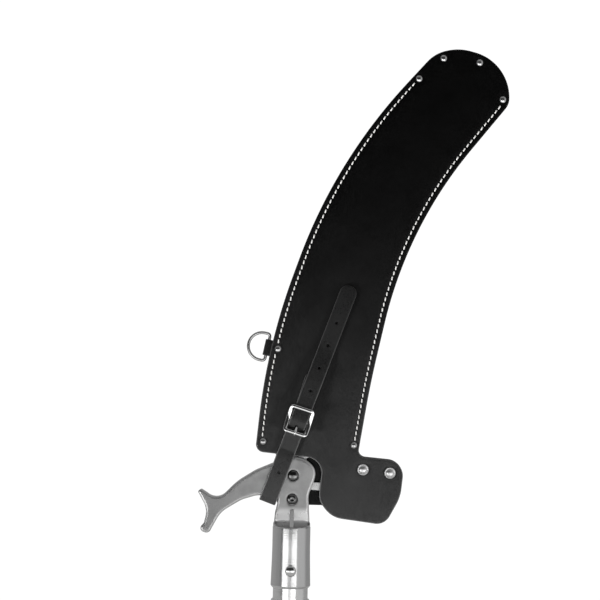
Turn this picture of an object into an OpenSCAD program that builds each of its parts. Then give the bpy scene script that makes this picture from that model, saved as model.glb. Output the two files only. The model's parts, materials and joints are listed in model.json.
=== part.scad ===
// Pole pruning saw head. A cast head carries a hook, an ear for the saw blade
// and a socket. A ferrule for the pole sits in the socket, held by a spring
// button. The curved blade is inside a leather scabbard with a buckled strap.
// Units are mm. +Z is up the pole, the blade lies in the XZ plane, the front
// faces -Y, and the origin is the mouth of the pole bore.

/* [Scabbard leather] */
// Thickness of the front and rear panels
leather_t = 3.6; // [3:0.1:4]
// Thickness of the welt, which sets the width of the blade pocket
welt_t = 6.7; // [6.6:0.1:8]
// Width of the welt, in from the panel edge
welt_w = 13; // [10:0.5:14]
// Distance of the stitching from the panel edge
stitch_inset = 5.5; // [5:0.5:7]
// Width of the stitching thread
thread_w = 1.6; // [1:0.1:2]
// Height of the thread above the leather
thread_h = 0.4; // [0.3:0.1:0.8]

/* [Rivets] */
// Head diameter of the small rivets
rivet_d = 6.8; // [6:0.1:8]
// Head height of the small rivets
rivet_h = 1.7; // [1:0.1:2]
// Head diameter of the two rivets on the lobe
lobe_rivet_d = 11.4; // [9:0.1:12]
// Head height of the two rivets on the lobe
lobe_rivet_h = 2.2; // [1:0.1:3]
// Diameter of every rivet shank
shank_d = 3; // [2.5:0.1:4]

/* [Strap and buckle] */
// Width of the strap
strap_w = 16.8; // [15:0.1:17]
// Thickness of the strap
strap_t = 2.2; // [1.8:0.1:2.4]
// Diameter of the holes in the strap
strap_hole_d = 3; // [2.5:0.1:3.5]
// Spacing of the holes in the strap
hole_pitch = 23.8; // [22:0.1:25]
// Thickness of the chape that holds the buckle
chape_t = 1.4; // [1.2:0.1:1.6]
// Outside width of the buckle
buckle_w = 24.4; // [24:0.1:26]
// Diameter of the buckle's end bars
buckle_bar_d = 2.7; // [2.4:0.1:3]

/* [Dee ring] */
// Diameter of the ring's wire
ring_wire_d = 3; // [2.5:0.1:3.2]
// Radius of the ring's round side, to the wire's centre
ring_r = 13.5; // [12:0.5:14]
// Width of the leather tab that holds the ring
tab_w = 16; // [14:0.5:18]

/* [Head and blade] */
// Thickness of the hook and ear
plate_t = 5; // [4:0.1:5]
// Thickness of the saw blade
blade_t = 1.6; // [1.2:0.1:1.6]
// Outside diameter of the socket
socket_d = 38.1; // [37:0.1:39]
// Height of the socket's lower rim
socket_z = 70; // [66:0.5:72]
// Height of the socket's upper shoulder
shoulder_z = 130; // [128:0.5:131]
// Number of teeth on the blade
teeth = 58; // [40:1:70]
// Depth of a tooth
tooth_h = 4.6; // [3:0.1:5]
// Head diameter of the blade bolts
bolt_head_d = 11; // [10:0.1:12]
// Shank diameter of the blade bolts
bolt_d = 6; // [5:0.1:6]

/* [Ferrule] */
// Diameter of the pole that fits the ferrule
pole_d = 31.75; // [25.4:0.05:32]
// Height of the collar that takes the pole
collar_h = 58.5; // [50:0.5:60]
// Diameter of the ferrule's neck inside the socket
neck_d = 34.4; // [34:0.1:34.6]
// Diameter of the spring button
button_d = 9.8; // [8:0.1:10.4]
// Height of the spring button
button_z = 88; // [82:0.5:90]

/* [Hidden] */
front_y = -leather_t;
rear_y = welt_t + leather_t;
blade_y = plate_t / 2;
arc_c = [539, 204];
back_r = 548;
root_teeth_r = 497;
tip_teeth_r = 520;
tip_angle = 140;
strap_dir = 70;
strap_off = -75.5;
buckle_t = 222;
buckle_dir = 73;
fold_t = 134.8;
socket_in_d = neck_d + 0.4;
nut_t = 2.2;
bolts = [[0.5, 180], [0, 156.7]];
ring_at = [-27.5, welt_t / 2, 305.3];
ring_lean = 11.8;
$fn = 72;

// ---- outlines: [x, z, corner radius] ----

panel_top = [
    [-37.5, 203, 8], [-27.5, 308, 605], [35.5, 490.5, 515],
    [131.5, 598.5, 36], [155.5, 604, 48], [205, 591, 46], [205.5, 549.5, 17],
    [108, 427.5, 415], [75, 273.5, 905], [63.5, 200, 7], [110, 196, 16],
    [106.5, 161, 43], [91.5, 133, 14.5], [39.5, 139.5, 25]
];
ear_notch = [[25.5, 156, 22], [28, 179, 41], [30, 197, 16], [-14, 200.8, 30]];
rear_tab = [[29.8, 150.5, 3], [-15, 150.5, 3], [-15, 170, 8], [-17, 180, 8], [-17, 200.8, 2]];
head_outline = [
    [-17.6, 133, 0], [-16.6, 144, 6], [-14.6, 152, 8], [-14.6, 161, 5], [-36, 159.4, 14], [-49.6, 155.2, 28],
    [-70.2, 142.5, 28], [-81.6, 121, 4.5], [-93, 124.5, 4], [-86.5, 131.5, 4.5],
    [-83.5, 145.5, 19], [-93.2, 162.6, 1.8], [-89.6, 165.4, 1.8], [-83.8, 161.9, 4], [-73.5, 154, 13],
    [-54.5, 173.5, 60], [-36.5, 185, 40], [-6, 198, 36], [9.5, 198.5, 22],
    [24, 187, 13.5], [21, 174, 20], [16, 161, 20], [17.6, 133, 0]
];
lobe_welt_outline = [[61, 200.2, 0], [109.5, 196, 15], [105, 175, 5], [59, 179, 3]];

// ---- helpers ----

function unit(v) = v / norm(v);
function flat(v) = [v[0], v[1]];
function cross2(a, b) = a[0] * b[1] - a[1] * b[0];

// Points of the arc that rounds corner b between a and c, moved d inwards
function corner(a, b, c, r, step, d) =
    let (u = unit(flat(a) - flat(b)), v = unit(flat(c) - flat(b)))
    let (angle = acos(u * v), turn = 180 - angle)
    let (side = cross2(-u, v) > 0 ? 1 : -1)
    let (centre = flat(b) + unit(u + v) * r / sin(angle / 2))
    let (start = flat(b) + u * r / tan(angle / 2) - centre)
    let (a0 = atan2(start[1], start[0]), n = ceil(turn / step))
    r == 0 ? [flat(b)] :
    [for (i = [0 : n]) centre + (r + side * d) *
        [cos(a0 + side * turn * i / n), sin(a0 + side * turn * i / n)]];

// Points of the corners first to last of a closed outline drawn clockwise
function arcs(o, first, last, d = 0, step = 4) =
    let (n = len(o))
    [for (i = [first : last])
        for (p = corner(o[(i + n - 1) % n], o[i], o[(i + 1) % n], o[i][2], step, d)) p];

function rounded(o, step = 4) = arcs(o, 0, len(o) - 1, 0, step);

function reversed(p) = [for (i = [len(p) - 1 : -1 : 0]) p[i]];

// The outline from the end of corner a to the start of corner b, moved d inwards
function run(o, a, b, d) =
    concat([reversed(arcs(o, a, a, d))[0]], arcs(o, a + 1, b - 1, d, 2), [arcs(o, b, b, d)[0]]);

// A line of points moved d to its right
function beside(p, d) =
    let (n = len(p) - 1)
    [for (i = [0 : n])
        let (t = unit(p[min(i + 1, n)] - p[max(i - 1, 0)]))
        p[i] + d * [t[1], -t[0]]];

function on_arc(r, a) = arc_c + r * [cos(a), sin(a)];

panel_front = concat(panel_top, ear_notch);
panel_rear = concat(panel_top, rear_tab);

// A plate in the XZ plane from y0 to y1
module slab(y0, y1) {
    translate([0, y1, 0])
    rotate([90, 0, 0])
    linear_extrude(y1 - y0)
    children();
}

// A cylinder along Y from y0 to y1 at p
module pin(p, d, y0, y1) {
    translate([p[0], y0, p[1]])
    rotate([-90, 0, 0])
    cylinder(d = d, h = y1 - y0);
}

// A round cap d across and h high, with its flat side at z = 0
module dome(d, h) {
    r = (d * d / 4 + h * h) / (2 * h);
    intersection() {
        translate([0, 0, h - r])
        sphere(r);
        cylinder(d = d, h = h);
    }
}

module front_dome(p, d, h, y) {
    translate([p[0], y, p[1]])
    rotate([90, 0, 0])
    dome(d, h);
}

module rear_dome(p, d, h, y) {
    translate([p[0], y, p[1]])
    rotate([-90, 0, 0])
    dome(d, h);
}

// A rivet through both panels
module rivet(p, d, h) {
    pin(p, shank_d, front_y, rear_y);
    front_dome(p, d, h, front_y);
    rear_dome(p, d, h, rear_y);
}

module shank_holes(points, y0 = front_y - 5, y1 = rear_y + 5) {
    for (p = points)
        pin(p, shank_d + 0.1, y0, y1);
}

// Puts children, drawn with Z along the strap and X across it, on the strap
module along_strap(t = 0, dir = strap_dir) {
    c = [
        strap_off * sin(strap_dir) + t * cos(strap_dir),
        -strap_off * cos(strap_dir) + t * sin(strap_dir)
    ];
    translate([c[0], 0, c[1]])
    rotate([0, 90 - dir, 0])
    children();
}

// Rivet positions
spine_pins = [[-29.7, 213], [-17, 304.2], [116.3, 572.8]];
teeth_pins = [[59.6, 211], [199, 554]];
tip_pins = [[140, 593.4], [175.5, 589.8]];
lobe_pins = [[69, 187.3], [95.6, 184.5]];
all_pins = concat(spine_pins, teeth_pins, tip_pins, lobe_pins);
chape_rivet_t = 256;
strap_rivet_t = [238, 252];

// ---- cast head ----

// Socket tube with a concave shoulder that narrows to the flat plate
module socket_body() {
    top = 152;
    neck = plate_t / 2 + 0.6;
    scoop_h = 8;
    r = socket_d / 2;
    scoop = [for (i = [0 : 8])
        let (a = 90 * i / 8)
        [r - (r - neck) * sin(a), shoulder_z + scoop_h * (1 - cos(a))]];
    side = concat([[r + 3, socket_z - 5], [r + 3, shoulder_z]], scoop, [[plate_t / 2, top]]);
    intersection() {
        rotate_extrude()
        polygon([
            [0, socket_z], [r - 0.9, socket_z], [r + 0.5, socket_z + 1.6],
            [r + 0.4, socket_z + 7], [r - 0.2, socket_z + 28], [r - 0.4, socket_z + 40],
            [r - 0.4, top - 1], [0, top - 1]
        ]);
        translate([-r - 3, 0, 0])
        rotate([90, 0, 90])
        linear_extrude(2 * r + 6)
        polygon(concat(side, [for (p = reversed(side)) [-p[0], p[1]]]));
        slab(-30, 30)
        polygon([[-30, socket_z - 5], [-30, shoulder_z], [-r - 1, shoulder_z], [-16.9, 138],
            [-14.2, 148], [-13.6, 158], [15.2, 158], [16.9, 138], [r + 1, shoulder_z], [30, shoulder_z],
            [30, socket_z - 5]]);
    }
}

module saw_head() {
    color("silver")
    difference() {
        union() {
            slab(-plate_t / 2, plate_t / 2)
            polygon(rounded(head_outline, 5));
            socket_body();
            translate([-2, 0, 0])
            rotate([90, 0, 90])
            linear_extrude(4)
            polygon([[-16.5, 127], [-2, 147], [2, 147], [16.5, 127]]);
        }
        translate([0, 0, socket_z - 1])
        cylinder(d = socket_in_d, h = 50);
        pin([0, button_z], button_d + 0.8, -30, 0);
        for (b = bolts) {
            pin(b, bolt_d + 0.1, -10, 10);
            pin(b, bolt_head_d + 0.6, -10, 1.4 - plate_t / 2);
        }
    }
}

// ---- blade and its bolts ----

module saw_blade() {
    root = 178.6;
    step = (root - tip_angle - 1.6) / teeth;
    back = [for (i = [0 : 20]) on_arc(back_r - 3 * i / 20, 179.4 - (179.4 - tip_angle) * i / 20)];
    edge = [for (i = [0 : teeth - 1])
        let (a = tip_angle + 1.6 + step * i)
        let (r = tip_teeth_r + (root_teeth_r - tip_teeth_r) * i / teeth)
        for (k = [0 : 1]) on_arc(k == 0 ? r : r + tooth_h, a + step * k * 0.5)];
    tang = [
        [44, 204.5], [24, 202.5], [13, 196.5], [17, 188], [16, 180], [14.5, 173.2], [62, 172.6], [84, 170],
        [90, 160], [86, 147], [78, 152], [66, 164], [14.5, 166], [12, 151],
        [-11, 151], [-12, 190]
    ];
    color("gainsboro")
    difference() {
        slab(blade_y, blade_y + blade_t)
        polygon(concat(back, edge, tang));
        for (b = bolts)
            pin(b, bolt_d + 0.1, -10, 10);
    }
}

module blade_bolt(p) {
    seat = 1.4 - plate_t / 2;
    difference() {
        union() {
            pin(p, bolt_d, seat, blade_y + blade_t + nut_t);
            pin(p, bolt_head_d, seat - 0.8, seat);
            front_dome(p, bolt_head_d, 1.2, seat - 0.8);
        }
        translate([p[0], seat - 0.9, p[1]])
        rotate([90, 0, 0])
        cylinder(d = 4.4, h = 6, $fn = 6);
    }
}

module blade_nut(p) {
    y0 = blade_y + blade_t;
    difference() {
        translate([p[0], y0, p[1]])
        rotate([-90, 0, 0])
        cylinder(d = 11.5, h = nut_t, $fn = 6);
        pin(p, bolt_d + 0.05, y0 - 1, y0 + nut_t + 1);
    }
}

module bolt_upper() {
    color("dimgray")
    blade_bolt(bolts[0]);
}

module bolt_lower() {
    color("dimgray")
    blade_bolt(bolts[1]);
}

module nut_upper() {
    color("gray")
    blade_nut(bolts[0]);
}

module nut_lower() {
    color("gray")
    blade_nut(bolts[1]);
}

// ---- ferrule, spring button ----

module pole_ferrule() {
    top = 112;
    r = socket_d / 2;
    edge = 0.8;
    color("darkgray")
    difference() {
        union() {
            rotate_extrude()
            polygon([
                [0, 0], [r - edge, 0], [r, edge], [r, collar_h - edge], [r - edge, collar_h], [0, collar_h]
            ]);
            cylinder(d = neck_d, h = top);
        }
        translate([0, 0, -1])
        cylinder(d = pole_d + 0.25, h = 56);
        cylinder(d = neck_d - 4.4, h = top + 1);
        pin([0, button_z], button_d + 0.1, -30, 0);
        for (a = [0, 180])
            rotate([0, 0, a])
            translate([0, 0, 28])
            rotate([0, 90, 0])
            cylinder(d = 5, h = 30);
    }
}

// Cup with a domed top, sliding along Y in the ferrule's hole
module snap_button() {
    face = -socket_d / 2 - 1.4;
    color("silver")
    difference() {
        union() {
            pin([0, button_z], button_d, face, -12);
            front_dome([0, button_z], button_d, 2, face);
            pin([0, button_z], button_d + 3, -13.3, -11.9);
        }
        pin([0, button_z], button_d - 3, face + 2, 0);
    }
}

// Ring stack that stands for the coil behind the button
module button_spring() {
    coil_d = button_d - 3.6;
    color("gray")
    difference() {
        pin([0, button_z], coil_d, -18.3, 14.5);
        pin([0, button_z], coil_d - 2, -20, 16);
    }
}

// ---- scabbard leather ----

module front_panel() {
    color([0.12, 0.12, 0.12])
    difference() {
        slab(front_y, 0)
        polygon(rounded(panel_front));
        shank_holes(all_pins);
        along_strap(chape_rivet_t)
        rotate([90, 0, 0])
        cylinder(d = shank_d + 0.1, h = 40, center = true);
    }
}

module rear_panel() {
    color([0.12, 0.12, 0.12])
    difference() {
        slab(welt_t, rear_y)
        polygon(rounded(panel_rear));
        shank_holes(all_pins);
        for (t = strap_rivet_t)
            along_strap(t)
            rotate([90, 0, 0])
            cylinder(d = shank_d + 0.1, h = 40, center = true);
    }
}

module welt_piece(points) {
    color([0.2, 0.17, 0.15])
    difference() {
        slab(0, welt_t)
        polygon(points);
        shank_holes(all_pins);
    }
}

module spine_welt() {
    difference() {
        welt_piece(concat(run(panel_front, 0, 3, 0), reversed(run(panel_front, 0, 3, welt_w))));
        at_ring()
        translate([-10, -10, -tab_w / 2 - 0.1])
        cube([30, 20, tab_w + 0.2]);
    }
}

module tip_welt() {
    welt_piece(concat(arcs(panel_front, 3, 6), reversed(arcs(panel_front, 3, 6, welt_w))));
}

module teeth_welt() {
    welt_piece(concat(run(panel_front, 6, 9, 0), reversed(run(panel_front, 6, 9, welt_w))));
}

module lobe_welt() {
    welt_piece(rounded(lobe_welt_outline, 6));
}

// A raised thread line on one face of the scabbard, along the outline from
// corner a to corner b, between two rivets and clear of their heads
module thread(a, b, pins, y0) {
    in = stitch_inset - thread_w / 2;
    low = min([for (p = pins) p[1]]) + 2;
    high = max([for (p = pins) p[1]]) - 2;
    color("white")
    difference() {
        slab(y0, y0 + thread_h)
        polygon(concat(run(panel_front, a, b, in), reversed(run(panel_front, a, b, in + thread_w))));
        translate([-100, -50, low - 100])
        cube([400, 100, 100]);
        translate([-100, -50, high])
        cube([400, 100, 100]);
        for (p = pins)
            pin(p, rivet_d + 0.6, -20, 20);
    }
}

module spine_stitch_front() {
    thread(0, 3, spine_pins, front_y - thread_h);
}

module spine_stitch_rear() {
    thread(0, 3, spine_pins, rear_y);
}

module teeth_stitch_front() {
    thread(6, 9, teeth_pins, front_y - thread_h);
}

module teeth_stitch_rear() {
    thread(6, 9, teeth_pins, rear_y);
}

module spine_rivets() {
    color("silver")
    for (p = spine_pins)
        rivet(p, rivet_d, rivet_h);
}

module teeth_rivets() {
    color("silver")
    for (p = teeth_pins)
        rivet(p, rivet_d, rivet_h);
}

module tip_rivets() {
    color("silver")
    for (p = tip_pins)
        rivet(p, rivet_d, rivet_h);
}

module lobe_rivets() {
    color("silver")
    for (p = lobe_pins)
        rivet(p, lobe_rivet_d, lobe_rivet_h);
}

// ---- dee ring and its tab ----

// Frame at the middle of the ring's bar, with Z along the bar
module at_ring() {
    translate(ring_at)
    rotate([0, ring_lean, 0])
    children();
}

module ring_tab() {
    reach = 15;
    color([0.12, 0.12, 0.12])
    difference() {
        at_ring()
        difference() {
            union() {
                translate([0, 0, -tab_w / 2])
                cylinder(d = welt_t, h = tab_w);
                translate([0, -welt_t / 2, -tab_w / 2])
                cube([reach, welt_t, tab_w]);
            }
            translate([0, 0, -tab_w])
            cylinder(d = ring_wire_d + 0.15, h = 2 * tab_w);
        }
        shank_holes([spine_pins[1]]);
    }
}

module dee_ring() {
    bend = 3;
    bar = 2 * (ring_r - bend);
    depth = 5.5;
    color("silver")
    at_ring() {
        translate([0, 0, -bar / 2])
        cylinder(d = ring_wire_d, h = bar);
        translate([-depth, 0, 0])
        rotate([90, 0, 0])
        rotate([0, 0, 90])
        rotate_extrude(angle = 180)
        translate([ring_r, 0])
        circle(d = ring_wire_d);
        for (s = [-1, 1]) {
            translate([-bend, 0, s * (ring_r - bend)])
            rotate([90, 0, 0])
            rotate([0, 0, s > 0 ? 0 : -90])
            rotate_extrude(angle = 90)
            translate([bend, 0])
            circle(d = ring_wire_d);
            translate([-depth, 0, s * ring_r])
            rotate([0, 90, 0])
            cylinder(d = ring_wire_d, h = depth - bend);
        }
    }
}

// ---- strap, chape, buckle ----

// Side view of the strap: y, then distance along it
strap_front = front_y;
strap_side = [
    [strap_front, 364], [strap_front, 286], [front_y - 2 * chape_t, 270],
    [front_y - 2 * chape_t, 238], [front_y - 3.5, 232], [front_y - 5.6, 227],
    [front_y - 6.1, 223.5], [front_y - 5.9, 219.5], [front_y - 2.6, 211.5],
    [strap_front, 203], [strap_front, fold_t + strap_t + 6],
    [strap_front + 0.5, fold_t + strap_t + 3], [strap_front + 3, fold_t + strap_t],
    [rear_y - 3, fold_t + strap_t], [rear_y - 0.5, fold_t + strap_t + 3],
    [rear_y, fold_t + strap_t + 6], [rear_y, 264]
];

module strap() {
    tip_r = 9;
    color([0.16, 0.16, 0.16])
    difference() {
        along_strap()
        translate([-strap_w / 2, 0, 0])
        rotate([90, 0, 90])
        linear_extrude(strap_w)
        polygon(concat(beside(strap_side, strap_t), reversed(strap_side)));
        along_strap(364 - tip_r)
        strap_tip_cut(tip_r);
        for (i = [0 : 3])
            along_strap(324.8 - hole_pitch * i)
            translate([0, -3, 0])
            rotate([90, 0, 0])
            cylinder(d = strap_hole_d, h = 12, center = true);
        along_strap(167.4)
        translate([0, -3, 0])
        rotate([90, 0, 0])
        cylinder(d = strap_hole_d, h = 12, center = true);
        along_strap(buckle_t - 7)
        translate([0, -8, 0])
        cube([4, 14, 9], center = true);
        for (t = strap_rivet_t)
            along_strap(t)
            translate([0, 12, 0])
            rotate([90, 0, 0])
            cylinder(d = shank_d + 0.1, h = 12, center = true);
    }
}

// What is cut off the strap to leave a round end
module strap_tip_cut(r) {
    difference() {
        translate([-strap_w, -12, 0])
        cube([2 * strap_w, 10, r + 4]);
        translate([0, 0, 0])
        rotate([90, 0, 0])
        cylinder(r = r, h = 40, center = true);
    }
}

module strap_rivets() {
    color("silver")
    for (t = strap_rivet_t)
        along_strap(t)
        rotate([-90, 0, 0]) {
            translate([0, 0, welt_t - 0.4])
            cylinder(d = shank_d, h = rear_y + strap_t - welt_t + 0.4);
            translate([0, 0, rear_y + strap_t])
            dome(rivet_d, rivet_h);
        }
}

module chape() {
    top = 268;
    bar_y = front_y - chape_t - 1.4;
    color([0.14, 0.14, 0.14])
    difference() {
        union() {
            along_strap()
            translate([-9.4, front_y - 2 * chape_t, buckle_t + 8])
            cube([18.2, 2 * chape_t, top - buckle_t - 8]);
            along_strap()
            translate([-8.2, 0, buckle_t])
            rotate([90, 0, 90])
            linear_extrude(16.4)
            polygon([
                [front_y, 0], [front_y, 9], [front_y - 2 * chape_t, 9],
                [bar_y - 1.5 - chape_t, 1.5], [bar_y - 1.5 - chape_t, -0.5],
                [bar_y - 1.7, -2.6], [bar_y, -3.1], [front_y, -2.6]
            ]);
        }
        along_strap(buckle_t, buckle_dir)
        translate([0, bar_y, 0])
        rotate([0, 90, 0])
        cylinder(d = 2.9, h = 40, center = true);
        along_strap(buckle_t, buckle_dir)
        translate([-2.2, -14, -6])
        cube([4.4, 14 + front_y - 0.3, 12]);
        along_strap(chape_rivet_t)
        rotate([90, 0, 0])
        cylinder(d = shank_d + 0.1, h = 40, center = true);
    }
}

module chape_rivet() {
    color("silver")
    along_strap(chape_rivet_t)
    rotate([90, 0, 0]) {
        translate([0, 0, -0.4])
        cylinder(d = shank_d, h = leather_t + 2 * chape_t + 0.4);
        translate([0, 0, -0.4])
        cylinder(d = 6, h = 0.4);
    }
}

// Frame with two end bars and a lower centre bar between bowed sides
module buckle_frame() {
    half = 12.4;
    bar_y = front_y - chape_t - 1.4;
    end_y = front_y - 7.2;
    side_t = 2.6;
    r = buckle_bar_d / 2;
    color("silver")
    along_strap(buckle_t, buckle_dir) {
        for (s = [-1, 1]) {
            translate([-buckle_w / 2, end_y, s * half])
            rotate([0, 90, 0])
            cylinder(r = r, h = buckle_w);
            translate([s > 0 ? buckle_w / 2 - side_t : -buckle_w / 2, 0, 0])
            rotate([90, 0, 90])
            linear_extrude(side_t)
            polygon(concat(
                [for (i = [-6 : 6]) [end_y + 4.3 - 3.4 * pow(i / 6, 2), half * i / 6]],
                [for (i = [6 : -1 : -6]) [end_y - r + 2.2 - 2.2 * pow(i / 6, 2), half * i / 6]]));
        }
        translate([-buckle_w / 2 + 0.6, bar_y, 0])
        rotate([0, 90, 0])
        cylinder(d = 2.8, h = buckle_w - 1.2);
    }
}

// Prong hinged on the centre bar, resting on the lower end bar
module buckle_prong() {
    bar_y = front_y - chape_t - 1.4;
    end_y = front_y - 7.2;
    rest_y = end_y - buckle_bar_d / 2 - 1.2;
    color("silver")
    along_strap(buckle_t, buckle_dir)
    difference() {
        union() {
            translate([-1.5, bar_y, 0])
            rotate([0, 90, 0])
            cylinder(d = 4.4, h = 3);
            translate([-1.1, 0, 0])
            rotate([90, 0, 90])
            linear_extrude(2.2)
            polygon([
                [bar_y - 0.4, -1.6], [bar_y - 1.9, -1.4], [rest_y - 0.8, -9.5],
                [rest_y - 0.8, -13.6], [rest_y, -14.6], [rest_y + 0.8, -13.8],
                [rest_y + 0.8, -9.4], [bar_y + 1, -2.2]
            ]);
        }
        translate([0, bar_y, 0])
        rotate([0, 90, 0])
        cylinder(d = 2.95, h = 10, center = true);
    }
}

saw_head();
saw_blade();
bolt_upper();
bolt_lower();
nut_upper();
nut_lower();
pole_ferrule();
button_spring();
snap_button();
front_panel();
rear_panel();
spine_welt();
tip_welt();
teeth_welt();
lobe_welt();
spine_stitch_front();
spine_stitch_rear();
teeth_stitch_front();
teeth_stitch_rear();
spine_rivets();
teeth_rivets();
tip_rivets();
lobe_rivets();
ring_tab();
dee_ring();
strap();
strap_rivets();
chape();
chape_rivet();
buckle_frame();
buckle_prong();
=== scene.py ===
"""Pole pruning saw head with its blade in a leather scabbard."""

import json
import math

import bmesh
import bpy
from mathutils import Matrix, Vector, geometry, kdtree, noise

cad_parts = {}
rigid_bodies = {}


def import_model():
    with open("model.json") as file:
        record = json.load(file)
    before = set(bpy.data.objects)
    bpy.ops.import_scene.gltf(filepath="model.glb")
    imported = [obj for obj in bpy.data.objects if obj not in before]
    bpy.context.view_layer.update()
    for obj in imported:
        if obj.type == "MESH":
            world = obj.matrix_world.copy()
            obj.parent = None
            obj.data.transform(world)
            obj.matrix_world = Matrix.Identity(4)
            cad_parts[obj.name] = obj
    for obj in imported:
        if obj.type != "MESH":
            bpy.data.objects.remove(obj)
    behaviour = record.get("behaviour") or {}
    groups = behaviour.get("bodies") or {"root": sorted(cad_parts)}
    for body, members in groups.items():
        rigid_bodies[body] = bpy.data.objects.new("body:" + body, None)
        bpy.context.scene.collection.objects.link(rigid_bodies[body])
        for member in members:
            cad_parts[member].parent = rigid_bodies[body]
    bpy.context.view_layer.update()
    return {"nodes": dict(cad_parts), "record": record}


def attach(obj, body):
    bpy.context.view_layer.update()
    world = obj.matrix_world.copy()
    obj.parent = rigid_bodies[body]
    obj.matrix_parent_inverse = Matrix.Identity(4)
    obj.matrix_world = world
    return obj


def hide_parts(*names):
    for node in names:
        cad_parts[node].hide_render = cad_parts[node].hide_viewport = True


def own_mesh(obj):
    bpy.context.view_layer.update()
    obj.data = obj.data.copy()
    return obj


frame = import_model()
MM = 0.001
BODY_OF = {n: body for body, names in frame["record"]["behaviour"]["bodies"].items() for n in names}
SLOT_OF = {p["node"]: p["material_slot"] for p in frame["record"]["subparts"]}

# ---------------------------------------------------------------- sizes, in mm, as in the CAD

LEATHER_T = 3.6
WELT_T = 6.7
WELT_W = 13
STITCH_INSET = 5.5
STITCH_PITCH = 5.4
STITCH_L = 4.0
STITCH_SLANT = 0.6
THREAD_R = 0.70
FRONT_Y = -LEATHER_T
REAR_Y = WELT_T + LEATHER_T
STRAP_W = 16.8
STRAP_T = 2.2
CHAPE_T = 1.4
HOLE_D = 3
HOLE_PITCH = 23.8
HOLE_T = 324.8
HOOK_HOLE_T = 167.4
STRAP_RIVET_T = (238, 252)
PLATE_T = 5
BLADE_T = 1.6
SOCKET_R = 19.05
SOCKET_Z = 70
SHOULDER_Z = 130
NECK_R = 17.2
COLLAR_H = 58.5
BUTTON_Z = 88
BUTTON_R = 4.9
STRAP_DIR = 70
STRAP_OFF = -75.5
BUCKLE_T = 222
BUCKLE_DIR = 73
BUCKLE_HALF = 12.4
BUCKLE_SIDE = 10.9
BAR_R = 1.4
BAR_Y = FRONT_Y - CHAPE_T - BAR_R
END_Y = FRONT_Y - 7.2
FOLD_T = 134.8
RING_LEAN = 11.8
RING_AT = (-27.5, WELT_T / 2, 305.3)

# Outlines: x, z, corner radius, clockwise as seen from the front
PANEL_TOP = [
    (-37.5, 203, 8), (-27.5, 308, 605), (35.5, 490.5, 515), (131.5, 598.5, 36), (155.5, 604, 48),
    (205, 591, 46), (205.5, 549.5, 17), (108, 427.5, 415), (75, 273.5, 905), (63.5, 200, 7),
    (110, 196, 16), (106.5, 161, 43), (91.5, 133, 14.5), (39.5, 139.5, 25),
]
EAR_NOTCH = [(25.5, 156, 22), (28, 179, 41), (30, 197, 16), (-14, 200.8, 30)]
REAR_TAB = [(29.8, 150.5, 3), (-15, 150.5, 3), (-15, 170, 8), (-17, 180, 8), (-17, 200.8, 2)]
LOBE_WELT = [(61, 200.2, 1), (109.5, 196, 15), (105, 175, 5), (59, 179, 3)]
HEAD = [
    (-17.6, 133, 1), (-16.6, 144, 6), (-14.6, 152, 8), (-14.6, 161, 5), (-36, 159.4, 14),
    (-49.6, 155.2, 28), (-70.2, 142.5, 28), (-81.6, 121, 4.5), (-93, 124.5, 4), (-86.5, 131.5, 4.5),
    (-83.5, 145.5, 19), (-93.2, 162.6, 1.8), (-89.6, 165.4, 1.8), (-83.8, 161.9, 4), (-73.5, 154, 13),
    (-54.5, 173.5, 60), (-36.5, 185, 40), (-6, 198, 36), (9.5, 198.5, 22), (24, 187, 13.5), (21, 174, 20),
    (16, 161, 20), (17.6, 133, 1),
]
SPINE_PINS = [(-29.7, 213), (-17, 304.2), (116.3, 572.8)]
TEETH_PINS = [(59.6, 211), (199, 554)]
TIP_PINS = [(140, 593.4), (175.5, 589.8)]
LOBE_PINS = [(69, 187.3), (95.6, 184.5)]
BOLTS = [(0.5, 180), (0, 156.7)]


# ---------------------------------------------------------------- materials


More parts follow.
